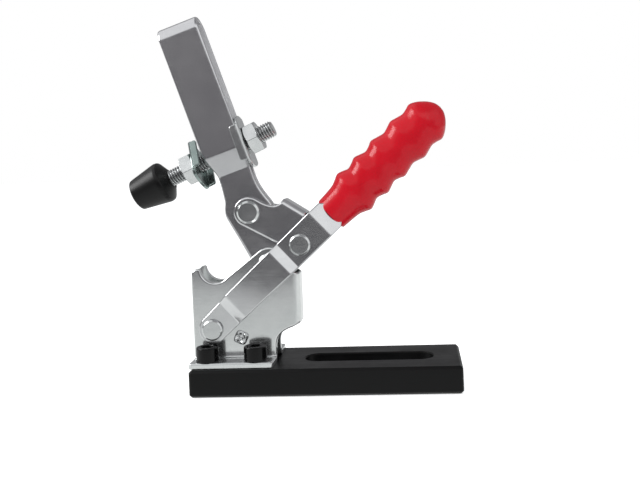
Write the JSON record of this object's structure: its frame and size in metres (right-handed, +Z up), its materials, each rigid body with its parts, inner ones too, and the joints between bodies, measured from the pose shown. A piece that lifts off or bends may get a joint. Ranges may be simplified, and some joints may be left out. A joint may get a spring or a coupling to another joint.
{
  "type": "vertical toggle clamp on a slotted base bar",
  "caption": "Vertical toggle clamp with a red grip and an adjustable rubber-tipped spindle, screwed to a black bar whose long slot bolts down to a table.",
  "frame": {"origin": "centre of the base bar's underside", "axes": "+X along the bar from the clamp's end to the slot's end, +Y across the bar to the back, +Z up out of the table"},
  "size_m": [0.1861, 0.05, 0.2125],
  "materials": {
    "zinc_steel": "bright zinc plate",
    "black_bar": "satin black oxide",
    "black_screw": "black oxide",
    "red_vinyl": "glossy dipped vinyl",
    "black_rubber": "moulded rubber"
  },
  "bodies": {
    "base": {"base_bar": "black_bar", "frame": "zinc_steel", "cap_screw_front_outer": "black_screw", "cap_screw_front_inner": "black_screw", "cap_screw_rear_outer": "black_screw", "cap_screw_rear_inner": "black_screw", "lever_pivot_rivet": "zinc_steel", "arm_pivot_rivet": "zinc_steel", "stop_rivet": "zinc_steel"},
    "lever": {"lever": "zinc_steel", "grip": "red_vinyl", "crank_rivet_heads": "zinc_steel"},
    "arm": {"arm": "zinc_steel", "knee_rivet": "zinc_steel"},
    "link": {"link": "zinc_steel", "crank_pin": "zinc_steel"},
    "carriage": {"spindle_nut_upper": "zinc_steel", "spindle_nut_lower": "zinc_steel", "spindle_washer_upper": "zinc_steel", "spindle_washer_lower": "zinc_steel"},
    "spindle": {"spindle_rod": "zinc_steel", "spindle_cap": "black_rubber"}
  },
  "joints": [
    {"name": "lever_hinge", "type": "hinge", "parent": "base", "child": "lever", "pos_m": [-0.0635, 0, 0.0347], "axis": [0, -1, 0], "range_deg": [0, 46]},
    {"name": "arm_hinge", "type": "hinge", "parent": "base", "child": "arm", "pos_m": [-0.0302, 0, 0.0701], "axis": [0, -1, 0], "range_deg": [0, 71.5]},
    {"name": "link_hinge", "type": "hinge", "parent": "arm", "child": "link", "pos_m": [-0.041, 0, 0.1], "axis": [0, -1, 0], "range_deg": [0, 50.3]},
    {"name": "carriage_slide", "type": "slide", "parent": "arm", "child": "carriage", "axis": [-0.3123, 0, 0.95], "range_m": [0, 0.055]},
    {"name": "spindle_feed", "type": "slide", "parent": "carriage", "child": "spindle", "axis": [0.9171, 0, 0.3987], "range_m": [-0.008, 0.0085]}
  ],
  "couplings": [
    {"joint": "arm_hinge", "follows": "lever_hinge", "ratio": 1.5532},
    {"joint": "link_hinge", "follows": "lever_hinge", "ratio": 1.091}
  ]
}
